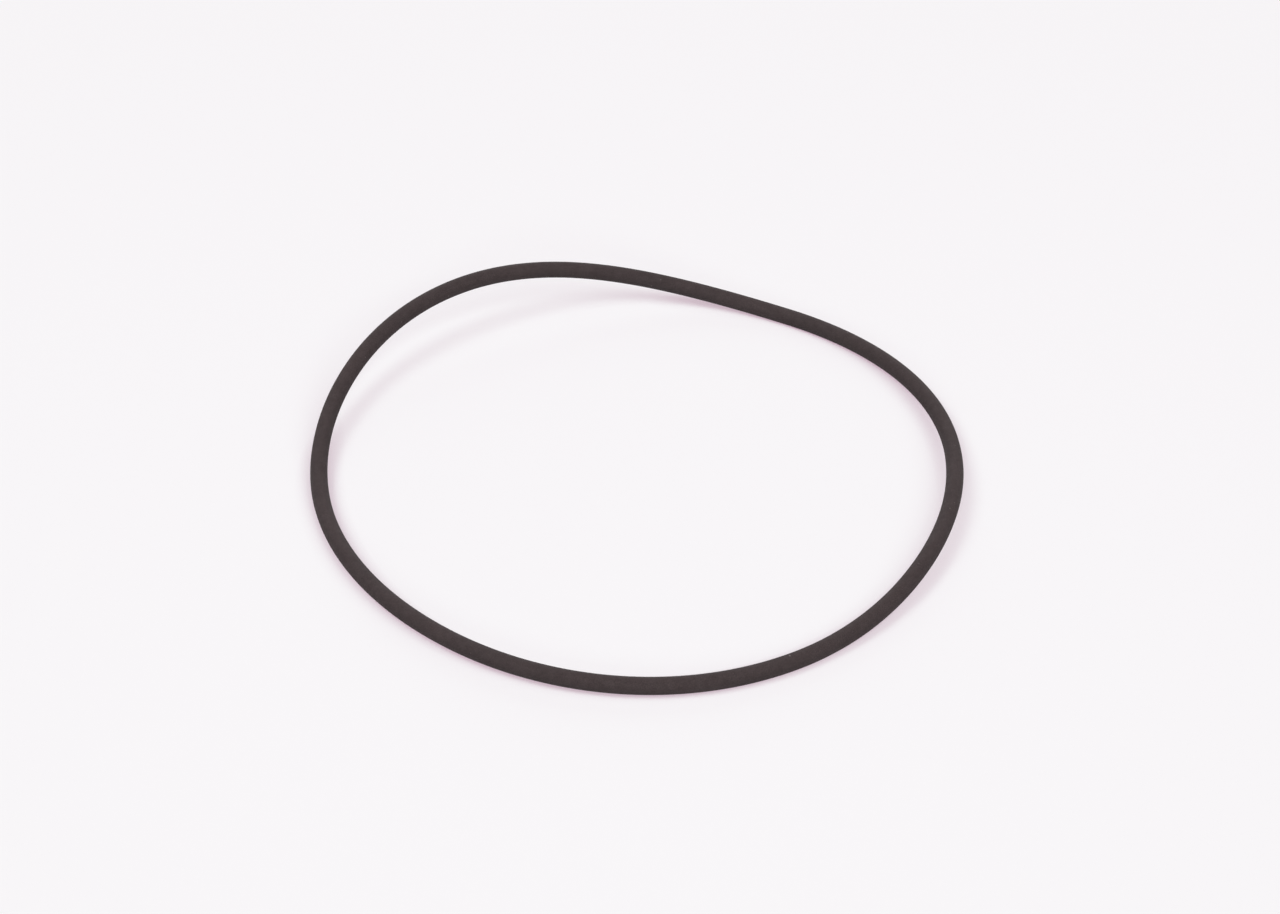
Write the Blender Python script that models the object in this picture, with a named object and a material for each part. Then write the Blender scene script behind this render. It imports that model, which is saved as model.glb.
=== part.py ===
"""A rubber O-ring of round section, relaxed and lying on a flat surface.

Free of its groove, the ring doesn't lie flat. Three feet touch the surface and
the ring arches between them. It keeps the length at which it was moulded.
Units are metres and +Z is up. Angles are in degrees, anticlockwise from +X as
seen from above. The origin is on the surface, under the middle of the ring.
"""

import bpy
import numpy as np

# Moulded sizes
INSIDE_DIAMETER = 0.12977
SECTION_DIAMETER = 0.00353

# Parting line left by the two halves of the mould, inside and outside
PARTING_RIDGE_HEIGHT = 0.00004
PARTING_RIDGE_WIDTH = 0.0002

# Feet, where the underside touches the surface
BACK_FOOT_ANGLE = 59.0
LEFT_FOOT_ANGLE = 190.0
FRONT_FOOT_ANGLE = 298.0

# Arches, each highest at its own angle
BACK_ARCH_ANGLE = 123.5
BACK_ARCH_LIFT = 0.0098
FRONT_ARCH_ANGLE = 238.0
FRONT_ARCH_LIFT = 0.0008
RIGHT_ARCH_ANGLE = 347.0
RIGHT_ARCH_LIFT = 0.0027

# Seen from above, the relaxed ring is a little oval and a little three-sided
OVAL_SWING = 0.00085
OVAL_ANGLE = 121.0
LOBE_SWING = 0.001
LOBE_ANGLE = 32.0

# Facets
STEPS_AROUND_RING = 160
STEPS_AROUND_SECTION = 24

# Rubber
RUBBER_COLOUR = (0.05, 0.04, 0.041, 1.0)
RUBBER_ROUGHNESS = 0.7

SECTION_RADIUS = SECTION_DIAMETER / 2
MOULDED_RADIUS = (INSIDE_DIAMETER + SECTION_DIAMETER) / 2


def clear_scene():
    for scene_object in list(bpy.data.objects):
        bpy.data.objects.remove(scene_object, do_unlink=True)


def lift_stations():
    """Angles and heights of the feet and the arches, in order and closed round the ring."""
    stations = sorted(
        (angle % 360.0, height)
        for angle, height in (
            (BACK_FOOT_ANGLE, 0.0),
            (BACK_ARCH_ANGLE, BACK_ARCH_LIFT),
            (LEFT_FOOT_ANGLE, 0.0),
            (FRONT_ARCH_ANGLE, FRONT_ARCH_LIFT),
            (FRONT_FOOT_ANGLE, 0.0),
            (RIGHT_ARCH_ANGLE, RIGHT_ARCH_LIFT),
        )
    )
    angles, heights = np.array(stations).T
    angles = np.concatenate(([angles[-1] - 360.0], angles, [angles[0] + 360.0]))
    heights = np.concatenate(([heights[-1]], heights, [heights[0]]))
    return angles, heights


def lift(angle):
    """Height of the underside over the surface, level at every foot and arch."""
    angles, heights = lift_stations()
    start = np.searchsorted(angles, angle, side="right") - 1
    share = (angle - angles[start]) / (angles[start + 1] - angles[start])
    eased = (1 - np.cos(np.pi * share)) / 2
    return heights[start] + (heights[start + 1] - heights[start]) * eased


def centreline(angle, mean_radius):
    """Points along the middle of the section."""
    turn = np.radians(angle)
    oval = OVAL_SWING * np.cos(2 * (turn - np.radians(OVAL_ANGLE)))
    lobes = LOBE_SWING * np.cos(3 * (turn - np.radians(LOBE_ANGLE)))
    radius = mean_radius + oval + lobes
    height = SECTION_RADIUS + lift(angle)
    return np.stack([radius * np.cos(turn), radius * np.sin(turn), height], axis=-1)


def closed_length(points):
    return np.linalg.norm(np.roll(points, -1, axis=0) - points, axis=1).sum()


def relaxed_radius():
    """Mean plan radius at which the arched ring is as long as the moulded one."""
    moulded_length = 2 * np.pi * MOULDED_RADIUS
    angle = np.arange(0.0, 360.0, 0.25)
    radius = MOULDED_RADIUS
    for _ in range(3):
        radius *= moulded_length / closed_length(centreline(angle, radius))
    return radius


def directions(angle, mean_radius):
    """Unit vectors out of the ring and up, square to the centreline."""
    span = 0.25
    ahead = centreline((angle + span) % 360.0, mean_radius)
    behind = centreline((angle - span) % 360.0, mean_radius)
    along = ahead - behind
    along /= np.linalg.norm(along, axis=-1, keepdims=True)
    outward = np.cross(along, (0.0, 0.0, 1.0))
    outward /= np.linalg.norm(outward, axis=-1, keepdims=True)
    return outward, np.cross(outward, along)


def section_point(step):
    """Angle and radius of one point of the section: a circle with a ridge on either side."""
    half_turn = STEPS_AROUND_SECTION // 2
    ridge_angle = PARTING_RIDGE_WIDTH / SECTION_DIAMETER
    within = step % half_turn
    share = (within - 1) / (half_turn - 2)
    on_circle = ridge_angle + share * (np.pi - 2 * ridge_angle)
    on_ridge = within == 0
    angle = np.pi * (step // half_turn) + np.where(on_ridge, 0.0, on_circle)
    radius = SECTION_RADIUS + np.where(on_ridge, PARTING_RIDGE_HEIGHT, 0.0)
    return angle, radius


def relax(mesh):
    """Moves the points of a plain torus to where the relaxed ring has them."""
    flat = np.empty(len(mesh.vertices) * 3)
    mesh.vertices.foreach_get("co", flat)
    x, y, z = flat.reshape(-1, 3).T
    angle = np.degrees(np.arctan2(y, x)) % 360.0
    section_turn = np.arctan2(z, np.hypot(x, y) - MOULDED_RADIUS) % (2 * np.pi)
    step = np.round(section_turn / (2 * np.pi) * STEPS_AROUND_SECTION) % STEPS_AROUND_SECTION
    section_angle, section_radius = section_point(step)

    mean_radius = relaxed_radius()
    outward, upward = directions(angle, mean_radius)
    points = centreline(angle, mean_radius)
    points += outward * (section_radius * np.cos(section_angle))[:, None]
    points += upward * (section_radius * np.sin(section_angle))[:, None]
    points[:, :2] -= (points[:, :2].min(axis=0) + points[:, :2].max(axis=0)) / 2
    mesh.vertices.foreach_set("co", points.ravel())
    mesh.update()


def rubber():
    material = bpy.data.materials.new("black_rubber")
    material.use_nodes = True
    shader = material.node_tree.nodes["Principled BSDF"]
    shader.inputs["Base Color"].default_value = RUBBER_COLOUR
    shader.inputs["Roughness"].default_value = RUBBER_ROUGHNESS
    shader.inputs["Metallic"].default_value = 0.0
    return material


def make_o_ring(collection):
    bpy.ops.mesh.primitive_torus_add(
        major_radius=MOULDED_RADIUS,
        minor_radius=SECTION_RADIUS,
        major_segments=STEPS_AROUND_RING,
        minor_segments=STEPS_AROUND_SECTION,
    )
    ring = bpy.context.object
    ring.name = "o_ring"
    ring.data.name = "o_ring"
    for other in list(ring.users_collection):
        other.objects.unlink(ring)
    collection.objects.link(ring)
    relax(ring.data)
    ring.data.shade_smooth()
    ring.data.materials.append(rubber())
    return ring


clear_scene()
parts = bpy.data.collections.new("seal_ring")
bpy.context.scene.collection.children.link(parts)
make_o_ring(parts)
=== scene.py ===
"""A black rubber O-ring, relaxed, on a pale floor under soft studio light."""

import math

import bpy
import numpy as np
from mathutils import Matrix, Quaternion, Vector


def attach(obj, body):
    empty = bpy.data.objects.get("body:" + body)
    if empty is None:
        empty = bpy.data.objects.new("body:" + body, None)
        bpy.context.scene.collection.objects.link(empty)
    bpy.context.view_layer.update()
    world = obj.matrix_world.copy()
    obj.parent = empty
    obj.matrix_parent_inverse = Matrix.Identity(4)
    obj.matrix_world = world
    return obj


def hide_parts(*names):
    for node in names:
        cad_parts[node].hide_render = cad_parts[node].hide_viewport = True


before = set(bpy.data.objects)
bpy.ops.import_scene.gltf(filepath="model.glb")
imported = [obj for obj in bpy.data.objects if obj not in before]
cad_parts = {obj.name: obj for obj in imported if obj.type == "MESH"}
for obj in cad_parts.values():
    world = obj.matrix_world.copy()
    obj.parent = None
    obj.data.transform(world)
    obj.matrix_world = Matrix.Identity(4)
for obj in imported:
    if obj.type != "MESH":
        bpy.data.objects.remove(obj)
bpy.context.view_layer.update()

MM = 0.001

# Ring, in metres and degrees: the same sizes as the solid's
INSIDE_DIAMETER = 0.12977
SECTION_DIAMETER = 0.00353
BACK_FOOT_ANGLE = 59.0
LEFT_FOOT_ANGLE = 190.0
FRONT_FOOT_ANGLE = 298.0
BACK_ARCH_ANGLE = 123.5
BACK_ARCH_LIFT = 0.0098
FRONT_ARCH_ANGLE = 238.0
FRONT_ARCH_LIFT = 0.0008
RIGHT_ARCH_ANGLE = 347.0
RIGHT_ARCH_LIFT = 0.0027
OVAL_SWING = 0.00085
OVAL_ANGLE = 121.0
LOBE_SWING = 0.001
LOBE_ANGLE = 32.0
SECTION_RADIUS = SECTION_DIAMETER / 2
MOULDED_RADIUS = (INSIDE_DIAMETER + SECTION_DIAMETER) / 2

# Parting line of the mould, rounded
PARTING_RIDGE_HEIGHT = 0.00004
PARTING_RIDGE_WIDTH = 0.0002

# Facets: 256 is the most that Blender's torus takes round the ring. At the
# parting line the section's points lie closer together by the given share.
STEPS_AROUND_RING = 256
STEPS_AROUND_SECTION = 96
SECTION_GATHER = 0.85

# Degrees round the ring between the points that its length and direction are measured from
MEASURING_STEP = 0.25
LENGTH_PASSES = 3

# Camera
LENS_MM = 98.5
SENSOR_MM = 36.0
CAMERA_ELEVATION = 37.04
CAMERA_ROLL = -0.14
CAMERA_DISTANCE = 0.735
CAMERA_TARGET = Vector((0.82, 9.08, 0.0)) * MM


def lift_stations():
    """Angles and heights of the feet and the arches, in order and closed round the ring."""
    stations = sorted(
        (
            (BACK_FOOT_ANGLE, 0.0),
            (BACK_ARCH_ANGLE, BACK_ARCH_LIFT),
            (LEFT_FOOT_ANGLE, 0.0),
            (FRONT_ARCH_ANGLE, FRONT_ARCH_LIFT),
            (FRONT_FOOT_ANGLE, 0.0),
            (RIGHT_ARCH_ANGLE, RIGHT_ARCH_LIFT),
        )
    )
    angles, heights = np.array(stations).T
    angles = np.concatenate(([angles[-1] - 360.0], angles, [angles[0] + 360.0]))
    heights = np.concatenate(([heights[-1]], heights, [heights[0]]))
    return angles, heights


def lift(angle):
    """Height of the underside over the floor, level at every foot and arch."""
    angles, heights = lift_stations()
    start = np.searchsorted(angles, angle, side="right") - 1
    share = (angle - angles[start]) / (angles[start + 1] - angles[start])
    eased = (1 - np.cos(np.pi * share)) / 2
    return heights[start] + (heights[start + 1] - heights[start]) * eased


def centreline(angle, mean_radius):
    """Points of the tube's middle: seen from above a little oval and a little three-sided."""
    turn = np.radians(angle)
    oval = OVAL_SWING * np.cos(2 * (turn - math.radians(OVAL_ANGLE)))
    lobes = LOBE_SWING * np.cos(3 * (turn - math.radians(LOBE_ANGLE)))
    radius = mean_radius + oval + lobes
    height = SECTION_RADIUS + lift(angle)
    return np.stack([radius * np.cos(turn), radius * np.sin(turn), height], axis=-1)


def closed_length(points):
    return np.linalg.norm(np.roll(points, -1, axis=0) - points, axis=1).sum()


def relaxed_radius():
    """Mean radius at which the warped ring is as long as it was moulded."""
    moulded_length = 2 * np.pi * MOULDED_RADIUS
    angle = np.arange(0.0, 360.0, MEASURING_STEP)
    radius = MOULDED_RADIUS
    for _ in range(LENGTH_PASSES):
        radius *= moulded_length / closed_length(centreline(angle, radius))
    return radius


def directions(angle, mean_radius):
    """Unit vectors out of the ring and up, square to the centreline."""
    ahead = centreline((angle + MEASURING_STEP) % 360.0, mean_radius)
    behind = centreline((angle - MEASURING_STEP) % 360.0, mean_radius)
    along = ahead - behind
    along /= np.linalg.norm(along, axis=-1, keepdims=True)
    outward = np.cross(along, (0.0, 0.0, 1.0))
    outward /= np.linalg.norm(outward, axis=-1, keepdims=True)
    return outward, np.cross(outward, along)


def section_radius(section_angle):
    """A circle with a low rounded ridge on its inner and outer side."""
    from_ridge = np.abs(np.sin(section_angle)) * SECTION_RADIUS
    share = np.clip(from_ridge / (PARTING_RIDGE_WIDTH / 2), 0.0, 1.0)
    return SECTION_RADIUS + PARTING_RIDGE_HEIGHT * (1 + np.cos(np.pi * share)) / 2


def unwrap(mesh, ring_share, section_share):
    """UVs: u runs once round the ring and v once round the section, past 1 across the seam."""
    corners = np.empty(len(mesh.loops), int)
    mesh.loops.foreach_get("vertex_index", corners)
    uv = np.stack([ring_share[corners], section_share[corners]], axis=-1).reshape(-1, 4, 2)
    crosses = uv.max(axis=1, keepdims=True) - uv.min(axis=1, keepdims=True) > 0.5
    uv += crosses & (uv < 0.5)
    layer = mesh.uv_layers.new(name="round_the_ring")
    layer.data.foreach_set("uv", uv.ravel())


def make_ring():
    """Bends a plain torus into the relaxed ring."""
    bpy.ops.mesh.primitive_torus_add(
        major_radius=MOULDED_RADIUS,
        minor_radius=SECTION_RADIUS,
        major_segments=STEPS_AROUND_RING,
        minor_segments=STEPS_AROUND_SECTION,
        generate_uvs=False,
    )
    ring = bpy.context.object
    ring.name = "moulded_ring"
    mesh = ring.data
    flat = np.empty(len(mesh.vertices) * 3)
    mesh.vertices.foreach_get("co", flat)
    x, y, z = flat.reshape(-1, 3).T
    angle = np.degrees(np.arctan2(y, x)) % 360.0
    even_angle = np.arctan2(z, np.hypot(x, y) - MOULDED_RADIUS)
    section_angle = (even_angle - SECTION_GATHER / 2 * np.sin(2 * even_angle)) % (2 * np.pi)

    mean_radius = relaxed_radius()
    outward, upward = directions(angle, mean_radius)
    radius = section_radius(section_angle)
    points = centreline(angle, mean_radius)
    points += outward * (radius * np.cos(section_angle))[:, None]
    points += upward * (radius * np.sin(section_angle))[:, None]
    points[:, :2] -= (points[:, :2].min(axis=0) + points[:, :2].max(axis=0)) / 2
    mesh.vertices.foreach_set("co", points.ravel())
    mesh.update()
    unwrap(mesh, angle / 360.0, section_angle / (2 * np.pi))
    mesh.shade_smooth()
    return ring


class Shading:
    """Short ways to add nodes to the tree of a material or a world."""

    def __init__(self, owner):
        owner.use_nodes = True
        self.nodes = owner.node_tree.nodes
        self.links = owner.node_tree.links

    def fill(self, socket, value):
        if isinstance(value, bpy.types.NodeSocket):
            self.links.new(value, socket)
        else:
            socket.default_value = value

    def add(self, kind, inputs, **settings):
        node = self.nodes.new("ShaderNode" + kind)
        for name, value in settings.items():
            setattr(node, name, value)
        for name, value in inputs.items():
            self.fill(node.inputs[name], value)
        return node

    def maths(self, operation, first, second, clamp=False):
        return self.add("Math", {0: first, 1: second}, operation=operation, use_clamp=clamp).outputs[0]

    def noise(self, place, size, detail):
        """Noise from 0 to 1 with features of about the given size in metres."""
        inputs = {"Vector": place, "Scale": 1 / size, "Detail": detail}
        return self.add("TexNoise", inputs).outputs["Fac"]

    def scaled(self, value, low, high, at_low, at_high):
        inputs = {"Value": value, "From Min": low, "From Max": high, "To Min": at_low, "To Max": at_high}
        return self.add("MapRange", inputs).outputs["Result"]

    def eased(self, value, low, high):
        """From 0 at the low value to 1 at the high one, level at both ends."""
        inputs = {"Value": value, "From Min": low, "From Max": high}
        return self.add("MapRange", inputs, interpolation_type="SMOOTHSTEP").outputs["Result"]

    def blend(self, factor, first, second):
        """Mixes two colours, which are sockets 6 and 7 of the node."""
        return self.add("Mix", {0: factor, 6: first, 7: second}, data_type="RGBA").outputs[2]

    def seen_directly(self):
        """1 for rays from the camera or off a gloss, 0 for light that bounces off matt things."""
        path = self.add("LightPath", {}).outputs
        direct = self.maths("ADD", path["Is Camera Ray"], path["Is Glossy Ray"], clamp=True)
        return self.maths("ADD", direct, path["Is Transmission Ray"], clamp=True)


# Rubber
RUBBER_COLOUR = (0.0330, 0.0221, 0.0225)
RUBBER_ROUGHNESS = 0.85
ROUGHNESS_SWING = 0.05
RUBBER_SPECULAR = 0.40

# Painted light makes upward faces lighter: tone of faces that look sideways or down, and up
TOP_LIGHT_TONE = (0.87, 1.08)

# Unevenness, from broad to fine: size of the features, detail of the noise, and the tones
# that it reaches at the two noise values in NOISE_ENDS
BLOTCH_SIZE = 0.016
BLOTCH_DETAIL = 2.0
BLOTCH_TONE = (0.89, 1.11)
MOTTLE_SIZE = 0.0014
MOTTLE_DETAIL = 3.0
MOTTLE_TONE = (0.97, 1.03)
GRAIN_SIZE = 0.00021
GRAIN_DETAIL = 2.0
GRAIN_TONE = (0.70, 1.30)
GRAIN_DEPTH = 0.000006
NOISE_ENDS = (0.3, 0.7)

# Dust, in specks and marks: out to the core share of its radius each has its full strength
DUST_COLOUR = (0.22, 0.19, 0.18, 1.0)
DUST_CORE = 0.5
SPECK_SPACING = 0.0015
SPECK_RADIUS = 0.00006
SPECK_STRENGTH = 0.35

# Light marks: angles round the ring and the section, length across the tube and width in mm, strength
MARKS = (
    (296.0, 93.0, 0.50, 0.45, 0.60),
    (344.5, 79.0, 0.30, 0.25, 0.50),
    (87.0, 188.0, 0.35, 0.40, 0.30),
    (85.5, 125.0, 0.35, 0.30, 0.30),
    (128.5, 182.0, 0.35, 0.25, 0.40),
    (328.5, 87.0, 0.65, 0.20, 0.30),
    (346.5, 61.0, 0.25, 0.20, 0.50),
    (3.5, 76.0, 0.55, 0.20, 0.30),
    (179.5, 134.0, 0.30, 0.25, 0.35),
    (151.0, 150.0, 0.40, 0.20, 0.30),
    (346.5, 128.0, 0.35, 0.25, 0.35),
    (140.0, 160.0, 0.45, 0.20, 0.30),
    (241.5, 23.0, 0.25, 0.30, 0.25),
    (152.5, 159.0, 0.30, 0.20, 0.25),
    (98.0, 192.0, 0.30, 0.25, 0.25),
    (341.0, 90.0, 0.25, 0.20, 0.25),
    (344.0, 118.0, 0.25, 0.20, 0.25),
    (349.0, 47.0, 0.25, 0.20, 0.25),
    (102.5, 178.0, 0.20, 0.20, 0.25),
)


def light_marks(shading):
    """How much dust covers each spot: the marks, laid out in millimetres on the unrolled surface."""
    round_ring = 2 * math.pi * MOULDED_RADIUS / MM
    round_section = 2 * math.pi * SECTION_RADIUS / MM
    uv = shading.add("UVMap", {}, uv_map="round_the_ring").outputs["UV"]
    surface = shading.add("VectorMath", {0: uv, 1: (round_ring, round_section, 0.0)}, operation="MULTIPLY")
    cover = 0.0
    for ring_angle, section_angle, length, width, strength in MARKS:
        centre = (ring_angle / 360.0 * round_ring, section_angle / 360.0 * round_section, 0.0)
        half = (width / 2, length / 2, 1.0)
        inputs = {"Vector": surface.outputs[0], "Location": centre, "Scale": half}
        placed = shading.add("Mapping", inputs, vector_type="TEXTURE").outputs[0]
        reach = shading.add("VectorMath", {0: placed}, operation="LENGTH").outputs["Value"]
        mark = shading.scaled(reach, DUST_CORE, 1.0, strength, 0.0)
        cover = shading.maths("MAXIMUM", cover, mark)
    return cover


def specks(shading, place):
    """Fine dust: small round spots, few of which reach the surface at full width."""
    cells = shading.add("TexVoronoi", {"Vector": place, "Scale": 1 / SPECK_SPACING})
    radius = SPECK_RADIUS / SPECK_SPACING
    return shading.scaled(cells.outputs["Distance"], DUST_CORE * radius, radius, SPECK_STRENGTH, 0.0)


def rubber_material():
    material = bpy.data.materials.new("matte_rubber")
    shading = Shading(material)
    shader = shading.nodes["Principled BSDF"]
    surface = shading.add("TexCoord", {}).outputs
    place = surface["Object"]
    upward = shading.add("SeparateXYZ", {"Vector": surface["Normal"]}).outputs["Z"]
    blotches = shading.noise(place, BLOTCH_SIZE, BLOTCH_DETAIL)
    mottle = shading.noise(place, MOTTLE_SIZE, MOTTLE_DETAIL)
    grain = shading.noise(place, GRAIN_SIZE, GRAIN_DETAIL)

    # The tone starts with painted light, lighter on upward faces
    tone = shading.scaled(upward, 0.0, 1.0, *TOP_LIGHT_TONE)
    for pattern, tones in ((blotches, BLOTCH_TONE), (mottle, MOTTLE_TONE), (grain, GRAIN_TONE)):
        tone = shading.maths("MULTIPLY", tone, shading.scaled(pattern, *NOISE_ENDS, *tones))
    rubber = shading.add("VectorMath", {0: RUBBER_COLOUR, "Scale": tone}, operation="SCALE").outputs[0]
    dust = shading.maths("MAXIMUM", light_marks(shading), specks(shading, place))
    roughest = RUBBER_ROUGHNESS + ROUGHNESS_SWING
    smoothest = RUBBER_ROUGHNESS - ROUGHNESS_SWING
    bump = shading.add("Bump", {"Height": grain, "Distance": GRAIN_DEPTH})
    shading.fill(shader.inputs["Base Color"], shading.blend(dust, rubber, DUST_COLOUR))
    shading.fill(shader.inputs["Roughness"], shading.scaled(mottle, *NOISE_ENDS, roughest, smoothest))
    shading.fill(shader.inputs["Specular IOR Level"], RUBBER_SPECULAR)
    shading.fill(shader.inputs["Normal"], bump.outputs[0])
    return material


# Floor and backdrop. Near the ring, what is seen of the floor is its lit colour, which
# takes the cast shadows, plus a glow, painted light that holds no shadow and is pinker than the lit
# colour, so the shadows come out weak and a little pink.
# Painted contact shade darkens the glow where something within the reach stands over a spot or in front of
# it, more than behind it, and turns from pink to neutral where the spot is covered by more than half.
# Farther away the glow alone is left, in the backdrop's colour.
FLOOR_COLOUR = (0.926, 0.906, 0.922, 1.0)
FLOOR_LIT_COLOUR = (0.311, 0.409, 0.364, 1.0)
FLOOR_GLOW_COLOUR = (0.636, 0.521, 0.583, 1.0)
FLOOR_HALF_SHADE_COLOUR = (0.505, 0.349, 0.432, 1.0)
FLOOR_DEEP_SHADE_COLOUR = (0.181, 0.177, 0.180, 1.0)
HALF_COVERED = 0.5
CONTACT_REACH = 0.004
CONTACT_LEAN = 50.0
CONTACT_SAMPLES = 4
FLOOR_FADE_START = 0.06
FLOOR_FADE_END = 0.35
FLOOR_ROUGHNESS = 0.9
FLOOR_SIZE = 12.0
BLACK = (0.0, 0.0, 0.0, 1.0)
WHITE = (1.0, 1.0, 1.0, 1.0)


def glow_with_painted_shade(shading):
    """The floor's glow near the ring, with painted shade darkening it towards what touches the floor."""
    lean = math.radians(CONTACT_LEAN)
    forward = shading.add("CombineXYZ", {"Y": -math.sin(lean), "Z": math.cos(lean)}).outputs[0]
    inputs = {"Distance": CONTACT_REACH, "Normal": forward}
    uncovered = shading.add("AmbientOcclusion", inputs, samples=CONTACT_SAMPLES).outputs["AO"]
    # Painted contact shade: pink where half covered, neutral dark where fully covered
    upper_half = shading.scaled(uncovered, HALF_COVERED, 1.0, 0.0, 1.0)
    lower_half = shading.scaled(uncovered, 0.0, HALF_COVERED, 0.0, 1.0)
    glow = shading.blend(upper_half, FLOOR_HALF_SHADE_COLOUR, FLOOR_GLOW_COLOUR)
    return shading.blend(lower_half, FLOOR_DEEP_SHADE_COLOUR, glow)


def floor_material():
    material = bpy.data.materials.new("pale_floor")
    shading = Shading(material)
    shader = shading.nodes["Principled BSDF"]
    place = shading.add("TexCoord", {}).outputs["Object"]
    away = shading.add("VectorMath", {0: place}, operation="LENGTH").outputs["Value"]
    faded = shading.eased(away, FLOOR_FADE_START, FLOOR_FADE_END)
    lit = shading.blend(faded, FLOOR_LIT_COLOUR, BLACK)
    glow = shading.blend(faded, glow_with_painted_shade(shading), FLOOR_COLOUR)
    seen = shading.seen_directly()
    shading.fill(shader.inputs["Base Color"], shading.blend(seen, FLOOR_COLOUR, lit))
    shading.fill(shader.inputs["Emission Color"], glow)
    shading.fill(shader.inputs["Emission Strength"], seen)
    shading.fill(shader.inputs["Roughness"], FLOOR_ROUGHNESS)
    shading.fill(shader.inputs["Specular IOR Level"], 0.0)
    return material


def make_floor():
    bpy.ops.mesh.primitive_plane_add(size=FLOOR_SIZE)
    floor = bpy.context.object
    floor.name = "floor"
    floor.data.materials.append(floor_material())


# Each light: name, direction from the ring (right, back, up), half width at a distance of 1,
# share of the floor's light
LIGHTS = (
    ("left_softbox", (-0.611, -0.239, 1.0), 0.211, 0.368),
    ("right_softbox", (0.611, -0.684, 1.0), 0.353, 0.396),
    ("back_softbox", (-0.044, 2.624, 1.0), 0.335, 0.090),
    ("low_front_light", (-0.331, -2.375, 1.0), 0.103, 0.073),
)
LIGHT_DISTANCE = 5.0
DOME_SHARE = 0.073


def make_lights():
    """The shares add up to 1 with the dome's, so a level colour renders as it is written."""
    for name, direction, spread, share in LIGHTS:
        towards = Vector(direction).normalized()
        width = 2 * spread * LIGHT_DISTANCE
        solid_angle = 4 * math.asin(spread**2 / (1 + spread**2))
        data = bpy.data.lights.new(name, "AREA")
        data.shape = "SQUARE"
        data.size = width
        data.energy = share * math.pi**2 * width**2 / (solid_angle * towards.z)
        light = bpy.data.objects.new(name, data)
        light.location = towards * LIGHT_DISTANCE
        light.rotation_euler = towards.to_track_quat("Z", "Y").to_euler()
        light.visible_camera = False
        bpy.context.scene.collection.objects.link(light)


def make_world():
    """A weak white dome as light, and the floor's colour where the world is seen directly."""
    world = bpy.data.worlds.new("studio")
    bpy.context.scene.world = world
    shading = Shading(world)
    dome = shading.nodes["Background"]
    shading.fill(dome.inputs["Color"], WHITE)
    shading.fill(dome.inputs["Strength"], DOME_SHARE)
    backdrop = shading.add("Background", {"Color": FLOOR_COLOUR, "Strength": 1.0})
    inputs = {0: shading.seen_directly(), 1: dome.outputs[0], 2: backdrop.outputs[0]}
    mixed = shading.add("MixShader", inputs)
    shading.fill(shading.nodes["World Output"].inputs["Surface"], mixed.outputs[0])


def make_camera():
    data = bpy.data.cameras.new("camera")
    data.lens = LENS_MM
    data.sensor_width = SENSOR_MM
    camera = bpy.data.objects.new("camera", data)
    rise = math.radians(CAMERA_ELEVATION)
    back = Vector((0.0, -math.cos(rise), math.sin(rise)))
    level = back.to_track_quat("Z", "Y")
    roll = Quaternion((0.0, 0.0, 1.0), math.radians(CAMERA_ROLL))
    camera.location = CAMERA_TARGET + back * CAMERA_DISTANCE
    camera.rotation_euler = (level @ roll).to_euler()
    bpy.context.scene.collection.objects.link(camera)
    bpy.context.scene.camera = camera


make_camera()
ring = make_ring()
ring.data.materials.append(rubber_material())
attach(ring, "root")
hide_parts("o_ring")
make_floor()
make_lights()
make_world()
bpy.context.scene.view_settings.view_transform = "Standard"
